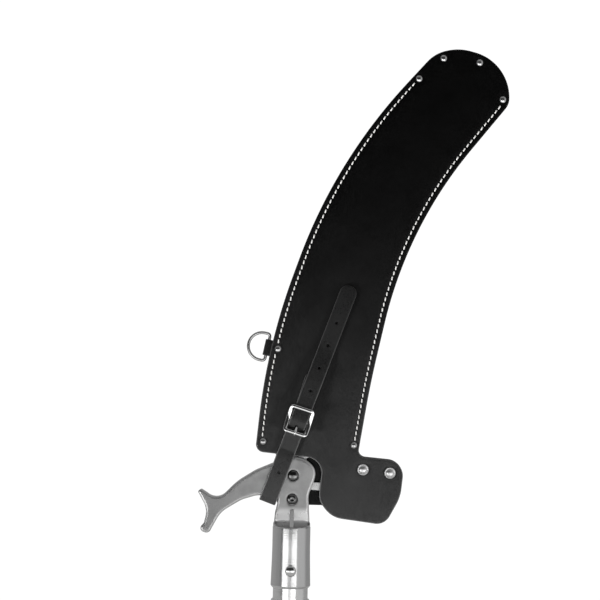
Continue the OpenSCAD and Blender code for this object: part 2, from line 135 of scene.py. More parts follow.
class Shader:
    """A material built from nodes, one short call per node."""

    def __init__(self, name):
        self.mat = bpy.data.materials.new(name)
        self.mat.use_nodes = True
        self.tree = self.mat.node_tree
        self.tree.nodes.clear()
        out = self.tree.nodes.new("ShaderNodeOutputMaterial")
        self.bsdf = self.tree.nodes.new("ShaderNodeBsdfPrincipled")
        self.tree.links.new(self.bsdf.outputs[0], out.inputs[0])
        self.where = self.tree.nodes.new("ShaderNodeTexCoord").outputs["Object"]

    def feed(self, socket, value):
        if isinstance(value, bpy.types.NodeSocket):
            self.tree.links.new(value, socket)
        else:
            socket.default_value = value

    def set(self, **inputs):
        for key, value in inputs.items():
            self.feed(self.bsdf.inputs[key.replace("_", " ")], value)
        return self.mat

    def noise(self, scale, detail=3, rough=0.5, stretch=None):
        node = self.tree.nodes.new("ShaderNodeTexNoise")
        node.inputs["Scale"].default_value = scale
        node.inputs["Detail"].default_value = detail
        node.inputs["Roughness"].default_value = rough
        source = self.where
        if stretch:
            mapping = self.tree.nodes.new("ShaderNodeMapping")
            mapping.inputs["Scale"].default_value = stretch
            self.feed(mapping.inputs["Vector"], source)
            source = mapping.outputs[0]
        self.feed(node.inputs["Vector"], source)
        return node.outputs[0]

    def cells(self, scale):
        node = self.tree.nodes.new("ShaderNodeTexVoronoi")
        node.feature = "DISTANCE_TO_EDGE"
        node.inputs["Scale"].default_value = scale
        self.feed(node.inputs["Vector"], self.where)
        return node.outputs["Distance"]

    def span(self, value, low, high, to_low, to_high):
        node = self.tree.nodes.new("ShaderNodeMapRange")
        node.interpolation_type = "SMOOTHSTEP"
        for socket, v in zip(list(node.inputs)[:5], (value, low, high, to_low, to_high)):
            self.feed(socket, v)
        return node.outputs[0]

    def math(self, op, a, b=0.0):
        node = self.tree.nodes.new("ShaderNodeMath")
        node.operation = op
        self.feed(node.inputs[0], a)
        self.feed(node.inputs[1], b)
        return node.outputs[0]

    def axis(self, name):
        node = self.tree.nodes.new("ShaderNodeSeparateXYZ")
        self.feed(node.inputs[0], self.where)
        return node.outputs[name]

    def attribute(self, name):
        node = self.tree.nodes.new("ShaderNodeAttribute")
        node.attribute_name = name
        return node.outputs["Fac"]

    def mix(self, factor, a, b):
        node = self.tree.nodes.new("ShaderNodeMix")
        node.data_type = "RGBA"
        self.feed(node.inputs["Factor"], factor)
        self.feed(node.inputs[6], a if isinstance(a, bpy.types.NodeSocket) else (*a, 1))
        self.feed(node.inputs[7], b if isinstance(b, bpy.types.NodeSocket) else (*b, 1))
        return node.outputs[2]

    def bump(self, height, distance, strength):
        node = self.tree.nodes.new("ShaderNodeBump")
        node.inputs["Strength"].default_value = strength
        node.inputs["Distance"].default_value = distance
        self.feed(node.inputs["Height"], height)
        return node.outputs[0]


def grey(v):
    return (v, v, v)


PORE_DEPTH = 0.00012


def leather(name, dark, light, rough, cut, shine=0.14):
    """Smooth dyed leather: fine pores, soft blotches in tone and gloss, and a paler cut edge.

    The greys it is given are far darker than real leather's."""
    s = Shader(name)
    blotch = s.noise(38, 4, 0.6)
    fine = s.noise(900, 3, 0.6)
    pores = s.cells(1500)
    tone = s.mix(s.span(s.mix(0.7, blotch, fine), 0.35, 0.65, 0, 1), grey(dark), grey(light))
    gloss = s.math(
        "ADD", s.span(blotch, 0.3, 0.7, rough - 0.01, rough + 0.015), s.span(fine, 0.3, 0.7, -0.04, 0.05)
    )
    height = s.math("ADD", s.math("MULTIPLY", fine, 0.6), s.span(pores, 0.0, 0.35, 0.0, 0.5))
    tone = s.mix(s.attribute("rim"), tone, grey(cut))
    normal = s.bump(height, PORE_DEPTH, 0.6)
    return s.set(Base_Color=tone, Roughness=gloss, Specular_IOR_Level=shine, Normal=normal)


def cut_edge():
    """Dyed cut edge of the welt, with the fibres along it."""
    s = Shader("welt_edge")
    fibres = s.noise(1200, 4, 0.7, stretch=(1, 6, 1))
    tone = s.mix(fibres, (0.010, 0.009, 0.008), (0.040, 0.035, 0.031))
    return s.set(Base_Color=tone, Roughness=0.6, Normal=s.bump(fibres, 0.0002, 0.7))


def metal(name, tone, rough, fine=2500, depth=0.00002, brushed=None):
    s = Shader(name)
    smudge = s.noise(90, 3, 0.6)
    grain = s.noise(fine, 2, 0.6, brushed)
    colour = s.mix(s.span(smudge, 0.3, 0.7, 0, 1), grey(tone * 0.92), grey(tone))
    gloss = s.math(
        "ADD", s.span(smudge, 0.3, 0.7, rough * 0.85, rough * 1.15), s.span(grain, 0.3, 0.7, -0.02, 0.03)
    )
    return s.set(Base_Color=colour, Metallic=1.0, Roughness=gloss, Normal=s.bump(grain, depth, 0.6))


def casting():
    """Tumbled casting with painted shade that darkens the hook, and brighter metal along the edges that is
    partly rubbed metal and partly a painted highlight; then a milled shoulder and a turned, polished tube.
    """
    s = Shader("cast_head")
    socket = s.span(s.axis("X"), -0.035, -0.025, 0, 1)
    turned = s.math("MULTIPLY", socket, s.span(s.axis("Z"), 0.1285, 0.1305, 1, 0))
    milled = s.math("MULTIPLY", socket, s.span(s.axis("Z"), 0.144, 0.150, 1, 0))
    smudge = s.noise(70, 4, 0.6)
    sand = s.noise(1800, 3, 0.7)
    pits = s.noise(420, 2, 0.5)
    lathe = s.noise(1400, 2, 0.6, (0.02, 0.02, 1))
    height = s.mix(turned, s.mix(0.35, sand, pits), lathe)
    edge_wear_and_highlight = s.attribute("rim")
    rough = s.mix(milled, s.span(smudge, 0.3, 0.7, 0.34, 0.44), s.span(smudge, 0.3, 0.7, 0.26, 0.32))
    rough = s.mix(turned, rough, s.span(smudge, 0.3, 0.7, 0.16, 0.21))
    tone = s.mix(s.span(smudge, 0.3, 0.7, 0, 1), grey(0.30), grey(0.38))
    # Painted shade: the tone darkens towards the hook end, along -X.
    tone = s.mix(s.span(s.axis("X"), -0.08, -0.03, 0.4, 0), tone, grey(0.20))
    # Brighter metal along the rounded edges: partly rubbed edges, partly a painted highlight.
    tone = s.mix(edge_wear_and_highlight, tone, grey(0.64))
    tone = s.mix(milled, tone, grey(0.60))
    tone = s.mix(turned, tone, grey(0.60))
    return s.set(Base_Color=tone, Metallic=1.0, Roughness=rough, Normal=s.bump(height, 0.00004, 0.5))


def thread_material():
    s = Shader("waxed_thread")
    strands = s.noise(1500, 2, 0.6)
    return s.set(
        Base_Color=s.mix(strands, (0.62, 0.61, 0.59), (0.84, 0.83, 0.81)),
        Roughness=0.55,
        Sheen_Weight=0.2,
        Normal=s.bump(strands, 0.0001, 0.8),
    )


def pale_floor():
    s = Shader("pale_floor")
    return s.set(Base_Color=s.mix(s.noise(6), (0.80, 0.80, 0.79), (0.84, 0.84, 0.83)), Roughness=0.7)


MATERIALS = {
    "cast_alloy": casting(),
    "blade_steel": metal("blade_steel", 0.62, 0.30, 1200, 0.00001, (1, 1, 0.05)),
    "black_bolt": metal("black_bolt", 0.15, 0.14),
    "plated_steel": metal("plated_steel", 0.55, 0.3),
    "ferrule_alloy": metal("ferrule_alloy", 0.76, 0.18, 1400, 0.00004, (0.02, 0.02, 1)),
    "button_steel": metal("button_steel", 0.72, 0.12),
    "black_leather": leather("panel_leather", 0.0009, 0.0018, 0.21, 0.005),
    "welt_leather": cut_edge(),
    "white_thread": thread_material(),
    "nickel": metal("nickel", 0.44, 0.22),
    "satin_nickel": metal("satin_nickel", 0.66, 0.3),
    "strap_leather": leather("strap_leather", 0.0009, 0.0016, 0.30, 0.006, 0.24),
    "chrome": metal("chrome", 0.75, 0.08, 1200, 0.00001),
}
for node, slot in SLOT_OF.items():
    mesh = frame["nodes"][node].data
    mesh.materials.clear()
    mesh.materials.append(MATERIALS[slot])


# ---------------------------------------------------------------- shapes


def weld(work):
    """Merges doubled points, such as the poles of a turned shape, and turns all faces outwards."""
    bmesh.ops.remove_doubles(work, verts=work.verts, dist=1e-7)
    bmesh.ops.delete(work, geom=[e for e in work.edges if not e.link_faces], context="EDGES")
    bmesh.ops.recalc_face_normals(work, faces=work.faces)


def add(name, node, shape, sharp, body=None):
    """A finished piece, drawn in mm, in place of a CAD node."""
    mesh = bpy.data.meshes.new(name)
    mesh.from_pydata([Vector(v) * MM for v in shape.verts], [], shape.faces)
    work = bmesh.new()
    work.from_mesh(mesh)
    rim = work.verts.layers.float.new("rim")
    work.verts.ensure_lookup_table()
    for i in shape.rim:
        work.verts[i][rim] = 1.0
    weld(work)
    work.to_mesh(mesh)
    work.free()
    mesh.shade_smooth()
    mesh.set_sharp_from_angle(angle=math.radians(sharp))
    mesh.materials.append(MATERIALS[SLOT_OF[node]])
    obj = bpy.data.objects.new(name, mesh)
    bpy.context.collection.objects.link(obj)
    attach(obj, body or BODY_OF[node])
    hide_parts(node)
    return obj


class Shape:
    """Verts and faces of one piece, gathered from several closed bodies."""

    def __init__(self):
        self.verts, self.faces, self.rim = [], [], []

    def loft(self, rings, closed=False):
        """Joins rings of equal counts. Ends are capped, or joined to each other."""
        base, n = len(self.verts), len(rings[0])
        for ring in rings:
            self.verts.extend(ring)
        count = len(rings)
        for k in range(count if closed else count - 1):
            a, b = base + k * n, base + (k + 1) % count * n
            for i in range(n):
                j = (i + 1) % n
                self.faces.append((a + i, a + j, b + j, b + i))
        if not closed:
            self.faces.append(tuple(base + i for i in range(n)))
            self.faces.append(tuple(base + (count - 1) * n + i for i in range(n)))

    def turn(self, profile, at=(0, 0, 0), axis="Y", steps=48):
        """Turns a closed profile of radius and height about an axis through at."""
        rings = []
        for i in range(steps):
            a = 2 * math.pi * i / steps
            c, s = math.cos(a), math.sin(a)
            spin = {
                "X": lambda r, h: (h, r * c, r * s), "Y": lambda r, h: (r * c, h, r * s),
                "Z": lambda r, h: (r * c, r * s, h),
            }[axis]
            rings.append([Vector(at) + Vector(spin(r, h)) for r, h in profile])
        self.loft(rings, closed=True)


def arc(radius, start, stop, steps, centre=(0, 0)):
    """Points of an arc. Angles in degrees."""
    return [
        (
            centre[0] + radius * math.cos(math.radians(start + (stop - start) * i / steps)),
            centre[1] + radius * math.sin(math.radians(start + (stop - start) * i / steps)),
        )
        for i in range(steps + 1)
    ]


class Outline:
    """A closed outline of rounded corners, drawn clockwise."""

    def __init__(self, corners, step=5, chord=2.5, side=4):
        self.corners, self.step, self.chord, self.side = corners, step, chord, side

    def corner(self, i, inset):
        n = len(self.corners)
        a, b, c = (Vector(self.corners[k % n][:2]) for k in (i - 1, i, i + 1))
        u, v = (a - b).normalized(), (c - b).normalized()
        angle = u.angle(v)
        side = 1 if -u.cross(v) > 0 else -1
        full = self.corners[i % n][2]
        r = full if side > 0 else max(full, inset + 0.05)
        centre = b + (u + v).normalized() * r / math.sin(angle / 2)
        start = b + u * r / math.tan(angle / 2) - centre
        turn = math.pi - angle
        a0 = math.atan2(start.y, start.x)
        steps = max(math.ceil(math.degrees(turn) / self.step), math.ceil(full * turn / self.chord), 1)
        radius = r + side * inset
        angles = [a0 + side * turn * k / steps for k in range(steps + 1)]
        return [centre + radius * Vector((math.cos(q), math.sin(q))) for q in angles]

    def ring(self, inset=0):
        """The whole outline, moved inwards. Long straight sides get points too."""
        out = []
        for i in range(len(self.corners)):
            here, there = self.corner(i, inset), self.corner(i + 1, inset)
            gap = self.corner(i + 1, 0)[0] - self.corner(i, 0)[-1]
            parts = max(int(gap.length / self.side), 1)
            out += here
            out += [here[-1].lerp(there[0], k / parts) for k in range(1, parts)]
        return out

    def run(self, first, last, inset, step=1.0, whole=False):
        """An open line between two corners, evenly spaced, with those corners or without them."""
        line = self.corner(first, inset) if whole else [self.corner(first, inset)[-1]]
        for i in range(first + 1, last):
            line += self.corner(i, inset)
        line += self.corner(last, inset) if whole else [self.corner(last, inset)[0]]
        return even(line, step)


def even(line, step):
    """The same line with points at an even distance close to step."""
    lengths = [0.0]
    for a, b in zip(line, line[1:]):
        lengths.append(lengths[-1] + (Vector(b) - Vector(a)).length)
    count = max(round(lengths[-1] / step), 1)
    out, k = [], 0
    for i in range(count + 1):
        s = lengths[-1] * i / count
        while k < len(line) - 2 and lengths[k + 1] < s:
            k += 1
        part = (s - lengths[k]) / max(lengths[k + 1] - lengths[k], 1e-9)
        out.append(Vector(line[k]).lerp(Vector(line[k + 1]), part))
    return out


def circle(centre, radius, steps=28):
    """A round hole for sheet(): its ring grows into the piece."""
    c = Vector(centre)
    return lambda d: [
        c + (radius + d) * Vector((math.cos(2 * math.pi * k / steps), math.sin(2 * math.pi * k / steps)))
        for k in range(steps)
    ]


def obround(centre, half, radius):
    """A slot for sheet(), long in the first direction."""
    c = Vector(centre)

    def ring(d):
        ends = arc(radius + d, -90, 90, 8, (half, 0)) + arc(radius + d, 90, 270, 8, (-half, 0))
        return [c + Vector(p) for p in ends]

    return ring


def inside(p, ring):
    hit = False
    for a, b in zip(ring, ring[1:] + ring[:1]):
        if (a.y > p.y) != (b.y > p.y) and p.x < (b.x - a.x) * (p.y - a.y) / (b.y - a.y) + a.x:
            hit = not hit
    return hit


def grid(ring, spacing):
    """A grid of points, every other row shifted, over a ring's box."""
    xs, ys = [p.x for p in ring], [p.y for p in ring]
    out = []
    rows = int((max(ys) - min(ys)) / (spacing * 0.87)) + 1
    for j in range(rows + 1):
        y = min(ys) + j * spacing * 0.87
        x = min(xs) + (spacing / 2 if j % 2 else 0)
        while x < max(xs):
            out.append(Vector((x, y)))
            x += spacing
    return out


def edge_profile(thick, edge, steps=4):
    """Inset and depth from the front face, round the edge, to the back face."""
    front = [
        (edge * (1 - math.sin(a)), edge * (1 - math.cos(a)))
        for a in (math.pi / 2 * k / steps for k in range(steps + 1))
    ]
    return front + [(d, thick - h) for d, h in reversed(front)]


def sheet(shape, outline, thick, place, holes=(), edge=0.8, hole_edge=0.35, lines=(), points=None,
          spacing=3.0, relief=None, profile=None, hole_profile=None, carry=False):
    """A flat piece with rounded edges and holes. place() turns outline x, z and depth into a point in mm.

    lines are rows of extra points, such as along a seam. relief() is how far the front face stands out,
    and with carry the rounded front edge stands out with it."""
    profile = profile or edge_profile(thick, edge)
    hole_profile = hole_profile or [(d * hole_edge / edge, h * (hole_edge / edge) if h < thick / 2 else
                                     thick - (thick - h) * hole_edge / edge) for d, h in profile]
    loops = [[outline.ring(d) for d, _ in profile]] + [[hole(d) for d, _ in hole_profile] for hole in holes]
    depths = [[h for _, h in profile]] + [[h for _, h in hole_profile] for _ in holes]
    rings = [loop[0] for loop in loops]
    extra = [Vector(p) for line in lines for p in line]
    busy = kdtree.KDTree(sum(len(r) for r in rings) + len(extra))
    for i, p in enumerate([p for r in rings for p in r] + extra):
        busy.insert((p.x, p.y, 0), i)
    busy.balance()
    free = [
        p for p in (points if points is not None else grid(rings[0], spacing))
        if busy.find((p.x, p.y, 0))[2] > spacing * 0.45
    ]
    keep = [
        p for p in extra + free
        if inside(p, rings[0]) and not any(inside(p, r) for r in rings[1:])
    ]
    flat, bonds = [], []
    for r in rings:
        start = len(flat)
        flat += r
        bonds += [(start + i, start + (i + 1) % len(r)) for i in range(len(r))]
    flat += keep
    out, _, tris, came, _, _ = geometry.delaunay_2d_cdt(flat, bonds, [], 1, 1e-6)
    where = {}
    for i, ids in enumerate(came):
        for k in ids:
            where[k] = i
    tris = [
        t for t in tris
        if not any(inside((out[t[0]] + out[t[1]] + out[t[2]]) / 3, r) for r in rings[1:])
    ]
    base = len(shape.verts)
    shape.verts += [place(p, -relief(p) if relief else 0) for p in out]
    shape.verts += [place(p, thick) for p in out]
    count = len(out)
    for t in tris:
        shape.faces.append(tuple(base + i for i in t))
        shape.faces.append(tuple(base + count + i for i in reversed(t)))
    start = 0
    for loop, heights in zip(loops, depths):
        n = len(loop[0])
        rows = [[base + where[start + i] for i in range(n)]]
        for ring, h in list(zip(loop, heights))[1:-1]:
            rows.append([len(shape.verts) + i for i in range(n)])
            shape.rim += rows[-1] if loop is loops[0] else []
            lifted = carry and h < thick / 2
            shape.verts += [place(p, h - relief(p) if lifted else h) for p in ring]
        rows.append([base + count + where[start + i] for i in range(n)])
        for a, b in zip(rows, rows[1:]):
            for i in range(n):
                j = (i + 1) % n
                shape.faces.append((a[i], a[j], b[j], b[i]))
        start += n


def waves(x, z, size, seed):
    """Smooth noise between -1 and 1, with waves of about this size in mm."""
    return noise.noise(Vector((x / size, z / size, seed)))


def warp(x, z):
    """The slight waviness of the scabbard leather."""
    return 0.35 * waves(x, z, 75, 3.1) + 0.12 * waves(x, z, 24, 8.7)


# ---------------------------------------------------------------- scabbard

FRONT = Outline(PANEL_TOP + EAR_NOTCH)
REAR = Outline(PANEL_TOP + REAR_TAB)


PIN_CLEAR = 3.9


def seam(first, last, pins):
    """The stitch line between the outer two rivets, in pieces that stop at every rivet head."""
    low, high = min(p[1] for p in pins), max(p[1] for p in pins)
    line = [p for p in FRONT.run(first, last, STITCH_INSET, 1.35) if low < p.y < high]
    pieces, now = [], []
    for p in line:
        if all((p - Vector(q)).length > PIN_CLEAR for q in pins):
            now.append(p)
        elif now:
            pieces.append(now)
            now = []
    return [p for p in pieces + [now] if len(p) > 3]


SEAMS = {"spine": seam(0, 3, SPINE_PINS), "teeth": seam(6, 9, TEETH_PINS)}
SEAM_ROWS = []
for seam_lines in SEAMS.values():
    for line in seam_lines:
        for shift in (-1.9, -1.0, 0, 1.0, 1.9):
            row = []
            for a, b in zip(line, line[1:]):
                t = (b - a).normalized()
                row.append((a + b) / 2 + Vector((t.y, -t.x)) * shift)
            SEAM_ROWS.append(row)
seam_tree = kdtree.KDTree(sum(len(line) for lines in SEAMS.values() for line in lines))
for index, point in enumerate(p for lines in SEAMS.values() for line in lines for p in line):
    seam_tree.insert((point.x, point.y, 0), index)
seam_tree.balance()
RIVETS = SPINE_PINS + TEETH_PINS + TIP_PINS


def panel_relief(p):
    """The panel face sinks along the stitches and under each rivet."""
    d = seam_tree.find((p.x, p.y, 0))[2]
    sink = -0.42 * math.exp(-((d / 1.15) ** 2)) - 0.10 * math.exp(-((d / 4.0) ** 2))
    for pins, reach in ((RIVETS, 4.6), (LOBE_PINS, 7.2)):
        for q in pins:
            sink -= 0.30 * math.exp(-(((p - Vector(q)).length / reach) ** 4))
    return sink


def flat_at(y, sign=1):
    """Places a sheet in the scabbard, its front face at y."""
    return lambda p, depth: (p.x, y + sign * depth + warp(p.x, p.y), p.y)


def panel(name, node, outline, y, sign):
    shape = Shape()
    sheet(shape, outline, LEATHER_T, flat_at(y, sign), edge=1.1, lines=SEAM_ROWS, relief=panel_relief)
    return add(name, node, shape, 60)


panel("front_panel_leather", "front_panel", FRONT, FRONT_Y, 1)
panel("rear_panel_leather", "rear_panel", REAR, REAR_Y, -1)

# Two layers of leather make the welt, with a line between them at the edge
WELT_EDGE = [
    (0.55, 0), (0.12, 0.3), (0, 0.9), (0, WELT_T / 2 - 0.7), (0.15, WELT_T / 2 - 0.25),
    (0.5, WELT_T / 2), (0.15, WELT_T / 2 + 0.25), (0, WELT_T / 2 + 0.7), (0, WELT_T - 0.9),
    (0.12, WELT_T - 0.3), (0.55, WELT_T),
]


def welt(name, node, first, last, whole=False, keep=lambda p: True):
    """A strip along the outline, cut where the ring's tab goes in."""
    shape = Shape()
    line = FRONT.run(first, last, 0, 2.0, whole)
    part = []
    for i, p in enumerate(line + [None]):
        if p is not None and keep(p):
            t = (line[min(i + 1, len(line) - 1)] - line[max(i - 1, 0)]).normalized()
            ring = WELT_EDGE + [(WELT_W, WELT_T), (WELT_W, 0)]
            part.append([(p.x + t.y * d, y + warp(p.x, p.y), p.y - t.x * d) for d, y in ring])
        elif part:
            shape.loft(part)
            part = []
    add(name, node, shape, 30)


TAB_W = 16
welt("spine_welt_layers", "spine_welt", 0, 3, keep=lambda p: abs(p.y - RING_AT[2]) > TAB_W / 2 + 0.4)
welt("tip_welt_layers", "tip_welt", 3, 6, whole=True)
welt("teeth_welt_layers", "teeth_welt", 6, 9)
lobe = Shape()
sheet(lobe, Outline(LOBE_WELT), WELT_T, flat_at(0), profile=WELT_EDGE)
add("lobe_welt_layers", "lobe_welt", lobe, 30)


def stitches(name, node, lines, y, sign):
    """Two-ply thread: each stitch rises from one hole and sinks into the next."""
    shape = Shape()
    for line in lines:
        holes = even(line, STITCH_PITCH)
        for a, b in zip(holes, holes[1:]):
            t = (b - a).normalized()
            side = Vector((t.y, -t.x))
            middle = (a + b) / 2
            rings = []
            for k in range(11):
                u = k / 10
                rise = math.sin(math.pi * u)
                at = middle + t * (u - 0.5) * STITCH_L + side * (0.5 - u) * STITCH_SLANT
                out = y + sign * (0.75 - 0.85 * rise**0.6) + warp(at.x, at.y)
                wide = THREAD_R * (0.55 + 0.45 * rise**0.5)
                ring = []
                for j in range(12):
                    q = 2 * math.pi * j / 12
                    ply = wide * (1 + 0.12 * math.cos(2 * q + 5.5 * u))
                    x = at + side * ply * math.cos(q)
                    ring.append((x.x, out - sign * ply * 0.8 * math.sin(q), x.y))
                rings.append(ring)
            shape.loft(rings)
    add(name, node, shape, 60)


for edge_name, seam_lines in SEAMS.items():
    stitches(edge_name + "_thread_front", edge_name + "_stitch_front", seam_lines, FRONT_Y, 1)
    stitches(edge_name + "_thread_rear", edge_name + "_stitch_rear", seam_lines, REAR_Y, -1)

# Rivet heads: radius, height above the leather
SMALL_HEAD = [(0, 1.62), (1.0, 1.58), (1.9, 1.35), (2.6, 0.98), (3.1, 0.55), (3.36, 0.15), (3.3, -0.3)]
LOBE_HEAD = [
    (0, 2.1), (1.4, 2.04), (2.6, 1.82), (3.5, 1.45), (3.95, 1.08), (4.15, 0.85), (4.35, 0.85),
    (4.6, 1.0), (5.0, 1.05), (5.4, 0.85), (5.66, 0.35), (5.6, -0.3),
]
SHANK_R = 1.5


def rivets(name, node, pins, head):
    shape = Shape()
    for x, z in pins:
        w = warp(x, z)
        profile = [(r, FRONT_Y - h + w) for r, h in head]
        profile += [(SHANK_R, FRONT_Y + 0.3 + w), (SHANK_R, REAR_Y - 0.3 + w)]
        profile += [(r, REAR_Y + h + w) for r, h in reversed(head)]
        shape.turn(profile, (x, 0, z), "Y", 40)
    add(name, node, shape, 50)


rivets("spine_rivet_set", "spine_rivets", SPINE_PINS, SMALL_HEAD)
rivets("teeth_rivet_set", "teeth_rivets", TEETH_PINS, SMALL_HEAD)
rivets("tip_rivet_set", "tip_rivets", TIP_PINS, SMALL_HEAD)
rivets("lobe_rivet_set", "lobe_rivets", LOBE_PINS, LOBE_HEAD)


# ---------------------------------------------------------------- bent leather


class Path:
    """A line in a plane that a strip of leather follows."""

    def __init__(self, points, rounds=0):
        points = [Vector(p) for p in points]
        for _ in range(rounds):
            cut = [points[0]]
            for a, b in zip(points, points[1:]):
                cut += [a.lerp(b, 0.25), a.lerp(b, 0.75)]
            points = cut + [points[-1]]
        self.points = points
        self.along = [0.0]
        for a, b in zip(points, points[1:]):
            self.along.append(self.along[-1] + (b - a).length)
        last = len(points) - 1
        self.tangents = [
            (points[min(i + 1, last)] - points[max(i - 1, 0)]).normalized() for i in range(last + 1)
        ]
        self.length = self.along[-1]

    def at(self, s):
        """The point at distance s, and the direction to its right."""
        k = 0
        while k < len(self.points) - 2 and self.along[k + 1] < s:
            k += 1
        part = (s - self.along[k]) / (self.along[k + 1] - self.along[k])
        point = self.points[k].lerp(self.points[k + 1], part)
        t = self.tangents[k].lerp(self.tangents[k + 1], min(max(part, 0), 1)).normalized()
        return point, Vector((t.y, -t.x))

    def where(self, height):
        """The distance at which the line first comes down to a height."""
        for i, (a, b) in enumerate(zip(self.points, self.points[1:])):
            if b.y <= height <= a.y:
                return self.along[i] + (b - a).length * (a.y - height) / max(a.y - b.y, 1e-9)
        raise ValueError("the line doesn't reach that height")


STRAP_X = Vector((math.sin(math.radians(STRAP_DIR)), -math.cos(math.radians(STRAP_DIR))))
STRAP_Z = Vector((math.cos(math.radians(STRAP_DIR)), math.sin(math.radians(STRAP_DIR))))


def on_strap(across, y, t):
    """A point by its place across the strap, its y and its distance along the strap."""
    p = STRAP_X * (STRAP_OFF + across) + STRAP_Z * t
    return (p.x, y, p.y)


# Inner face of the strap, side view: y, then distance along it
BACK_T = FOLD_T + STRAP_T
STRAP_PATH = Path([
    (FRONT_Y, 364), (FRONT_Y, 302), (FRONT_Y - 1.0, 288), (FRONT_Y - 3.0, 269), (FRONT_Y - 3.7, 254),
    (FRONT_Y - 4.4, 240), (FRONT_Y - 5.5, 230), (FRONT_Y - 6.2, 223.5), (FRONT_Y - 6.0, 220),
    (FRONT_Y - 5.2, 217), (FRONT_Y - 2.2, 212.2), (FRONT_Y - 0.9, 207), (FRONT_Y - 0.5, 200),
    (FRONT_Y - 0.1, 192.5), (FRONT_Y, 190.2),
    (FRONT_Y - 0.9, 186), (FRONT_Y - 1.5, 178), (FRONT_Y - 1.6, 167), (FRONT_Y - 1.0, 156),
    (FRONT_Y + 0.1, BACK_T + 7), (FRONT_Y + 1.0, BACK_T + 2), (FRONT_Y + 3.2, BACK_T),
    (REAR_Y - 3.2, BACK_T), (REAR_Y - 0.5, BACK_T + 3), (REAR_Y, BACK_T + 8), (REAR_Y, 264),
], rounds=2)


def strip_points(length, pitch, across):
    """Rows of points along a strip of leather, each with the same few points across it."""
    rows = int(length / pitch)
    return [Vector((length * i / rows, u)) for i in range(1, rows) for u in across]


def place_strap(p, depth):
    point, right = STRAP_PATH.at(p.x)
    q = point + right * (STRAP_T - depth)
    return on_strap(p.y, q.x, q.y)


strap = Shape()
half_w = STRAP_W / 2
hole_heights = [HOLE_T - HOLE_PITCH * i for i in range(4)] + [HOOK_HOLE_T]
strap_holes = [circle((STRAP_PATH.where(t), 0), HOLE_D / 2, 20) for t in hole_heights]
strap_holes.append(obround((STRAP_PATH.where(BUCKLE_T - 7.4), 0), 2.2, 1.6))
sheet(
    strap,
    Outline([
        (0, -half_w, 8.3), (0, half_w, 8.3), (STRAP_PATH.length, half_w, 2),
        (STRAP_PATH.length, -half_w, 2),
    ], side=1.1),
    STRAP_T, place_strap, strap_holes, edge=0.95, spacing=1.3,
    points=strip_points(STRAP_PATH.length, 1.15, (-6.2, -4.1, -2.05, 0, 2.05, 4.1, 6.2)),
)
# The hole over the hook is blind: a disc of strap leather closes it from behind, a dark sheet standing in
# for the shade inside the hole
hole_y = FRONT_Y - 2.0
hole_shade_disc = [(0, hole_y - 0.4), (2.2, hole_y - 0.4), (2.2, hole_y), (0, hole_y)]
strap.turn(hole_shade_disc, on_strap(0, 0, HOOK_HOLE_T), "Y", 20)
add("strap_leather_strip", "strap", strap, 50)

pins = Shape()
for t in STRAP_RIVET_T:
    x, _, z = on_strap(0, 0, t)
    top = REAR_Y + STRAP_T
    profile = [(0, WELT_T - 0.4), (SHANK_R, WELT_T - 0.4), (SHANK_R, top - 0.3)]
    pins.turn(profile + [(r, top + h) for r, h in reversed(SMALL_HEAD)], (x, 0, z), "Y", 40)
add("strap_rivet_pair", "strap_rivets", pins, 50)

# Chape: under the strap, round the buckle's centre bar and back
CHAPE_R = 2.15
CHAPE_PATH = Path(
    [(FRONT_Y - 0.75, 266), (FRONT_Y - 0.75, 240), (FRONT_Y - 0.7, 228)]
    + arc(CHAPE_R, 0, -180, 12, (BAR_Y, BUCKLE_T))
    + [
        (FRONT_Y - 4.7, 225), (FRONT_Y - 3.7, 228.5), (FRONT_Y - 2.6, 232), (FRONT_Y - 2.15, 236),
        (FRONT_Y - 2.12, 252), (FRONT_Y - 2.12, 268),
    ],
)


def place_chape(p, depth):
    point, right = CHAPE_PATH.at(p.x)
    q = point - right * (CHAPE_T / 2 - depth)
    return on_strap(p.y, q.x, q.y)


chape = Shape()
wrap = CHAPE_PATH.along[3] + CHAPE_R * math.radians(120)
size = CHAPE_PATH.length
sheet(
    chape,
    Outline([
        (0, -8.2, 2), (0, 8.2, 2), (size, 8.6, 2), (size, -10.2, 3), (size - 34, -8.2, 20),
    ], side=0.9),
    CHAPE_T, place_chape, [obround((wrap, 0), 2.6, 2.1)], edge=0.55, hole_edge=0.2, spacing=1.2,
    points=strip_points(size, 0.9, (-6, -3, 0, 3, 6)),
)
add("chape_leather_loop", "chape", chape, 50)


def on_ring(x, y, z):
    """A point in the ring's own frame: x away from the bar, z along it."""
    c, s = math.cos(math.radians(RING_LEAN)), math.sin(math.radians(RING_LEAN))
    return (RING_AT[0] + x * c + z * s, RING_AT[1] + y, RING_AT[2] - x * s + z * c)


TAB_T = 1.6
tab_r = WELT_T / 2 - TAB_T / 2
TAB_PATH = Path([(15, -tab_r), (8, -tab_r)] + arc(tab_r, -90, -270, 16) + [(8, tab_r), (15, tab_r)])


def place_tab(p, depth):
    point, right = TAB_PATH.at(p.x)
    q = point + right * (TAB_T / 2 - depth)
    return on_ring(q.x, q.y, p.y)


tab = Shape()
size = TAB_PATH.length
sheet(
    tab,
    Outline([
        (0, -TAB_W / 2, 1.5), (0, TAB_W / 2, 1.5), (size, TAB_W / 2, 1.5), (size, -TAB_W / 2, 1.5),
    ], side=0.9),
    TAB_T, place_tab, edge=0.6, spacing=1.2,
    points=strip_points(size, 0.9, (-5.6, -2.8, 0, 2.8, 5.6)),
)
add("ring_tab_loop", "ring_tab", tab, 50)


# ---------------------------------------------------------------- ring, buckle, prong


